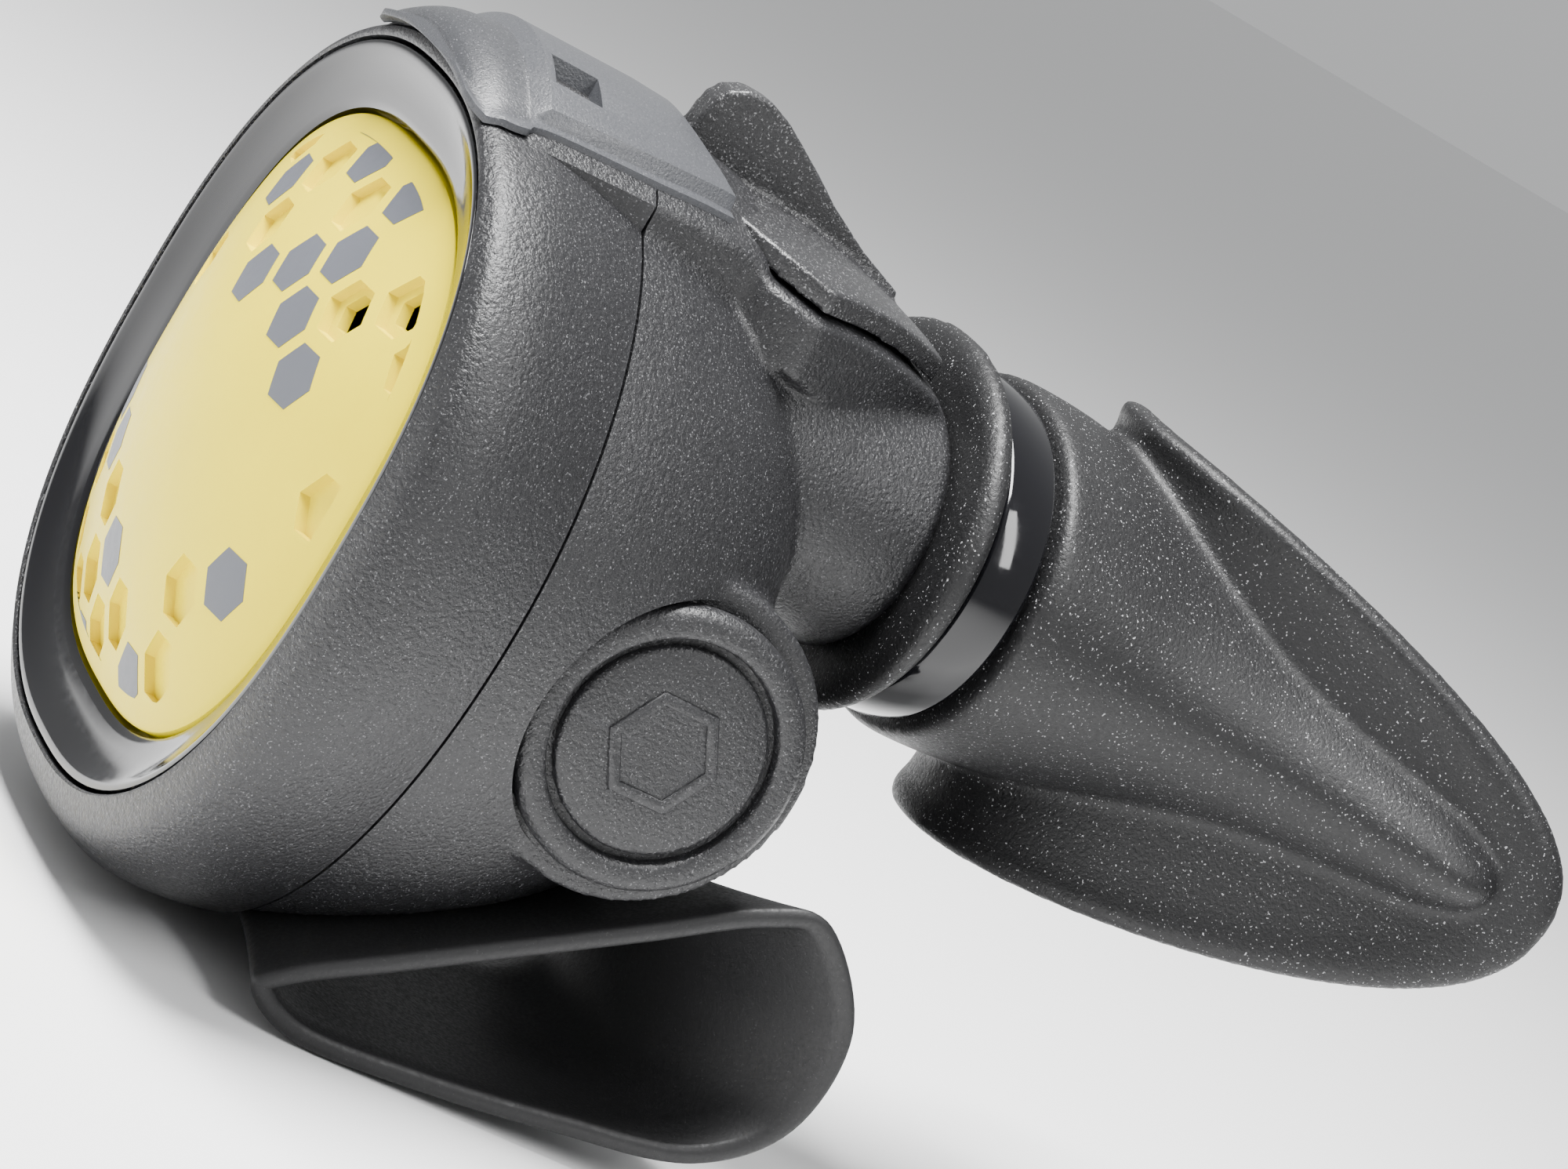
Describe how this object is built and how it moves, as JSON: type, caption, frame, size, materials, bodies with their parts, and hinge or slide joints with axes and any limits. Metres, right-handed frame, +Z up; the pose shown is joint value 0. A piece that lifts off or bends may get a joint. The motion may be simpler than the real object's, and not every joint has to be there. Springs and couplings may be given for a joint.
{
  "type": "scuba second stage regulator",
  "caption": "Scuba demand valve: oval case, yellow purge button in a gloss bezel, valve barrel with side cap, flow lever, mouthpiece and exhaust tee.",
  "frame": {"origin": "centre of the hose inlet's end face", "axes": "+X along the valve barrel towards the side cap, -Y the front with the purge button, +Y towards the diver's mouth, +Z up"},
  "size_m": [0.0853, 0.1228, 0.0844],
  "materials": {
    "case_plastic": "fine pebbled grain with a faint sparkle",
    "gloss_black": "smooth gloss",
    "purge_yellow": "satin moulded",
    "moulded_grey": "fine satin grain",
    "soft_rubber": "soft matt moulded rubber",
    "seal_rubber": "smooth seal rubber",
    "membrane": "translucent silicone",
    "steel": "stainless spring steel",
    "plated_brass": "bright plated"
  },
  "bodies": {
    "casing": {"bezel_ring": "gloss_black", "diaphragm": "membrane", "exhaust_tee": "soft_rubber", "exhaust_valve": "membrane", "front_cover": "case_plastic", "lock_nut": "plated_brass", "mouthpiece": "soft_rubber", "mouthpiece_clamp": "gloss_black", "orifice": "plated_brass", "orifice_seal": "seal_rubber", "poppet_spring": "steel", "purge_spring": "steel", "rear_case": "case_plastic", "saddle": "moulded_grey", "side_cap": "case_plastic", "side_cap_disc": "case_plastic", "slip_ring": "moulded_grey", "valve_barrel": "plated_brass"},
    "purge": {"purge_button": "purge_yellow"},
    "plate": {"diaphragm_plate": "moulded_grey"},
    "lever": {"demand_lever": "steel"},
    "poppet_group": {"poppet": "moulded_grey", "poppet_seat": "seal_rubber", "poppet_nut": "steel", "lever_washer": "steel"},
    "flow": {"flow_lever": "moulded_grey", "venturi_vane": "moulded_grey"}
  },
  "joints": [
    {"name": "purge_press", "type": "slide", "parent": "casing", "child": "purge", "axis": [0, 1, 0], "range_m": [0, 0.003], "stiffness_N_per_m": 400, "springref_m": -0.004, "deforming": ["purge_spring", "diaphragm"]},
    {"name": "plate_slide", "type": "slide", "parent": "casing", "child": "plate", "axis": [0, 1, 0], "range_m": [0, 0.003]},
    {"name": "demand_lever_turn", "type": "hinge", "parent": "casing", "child": "lever", "pos_m": [0.0549, -0.0085, 0], "axis": [0, 0, -1], "range_deg": [0, 14.1]},
    {"name": "poppet_slide", "type": "slide", "parent": "casing", "child": "poppet_group", "axis": [1, 0, 0], "range_m": [0, 0.0013], "deforming": ["poppet_spring"]},
    {"name": "flow_lever_turn", "type": "hinge", "parent": "casing", "child": "flow", "pos_m": [0.046, 0.004, 0.04], "axis": [0, 0.1478, 0.989], "range_deg": [-20, 20]}
  ],
  "couplings": [
    {"joint": "plate_slide", "follows": "purge_press", "ratio": 1},
    {"joint": "demand_lever_turn", "follows": "purge_press", "rad_per_m": 81.4},
    {"joint": "poppet_slide", "follows": "purge_press", "ratio": 0.43}
  ]
}
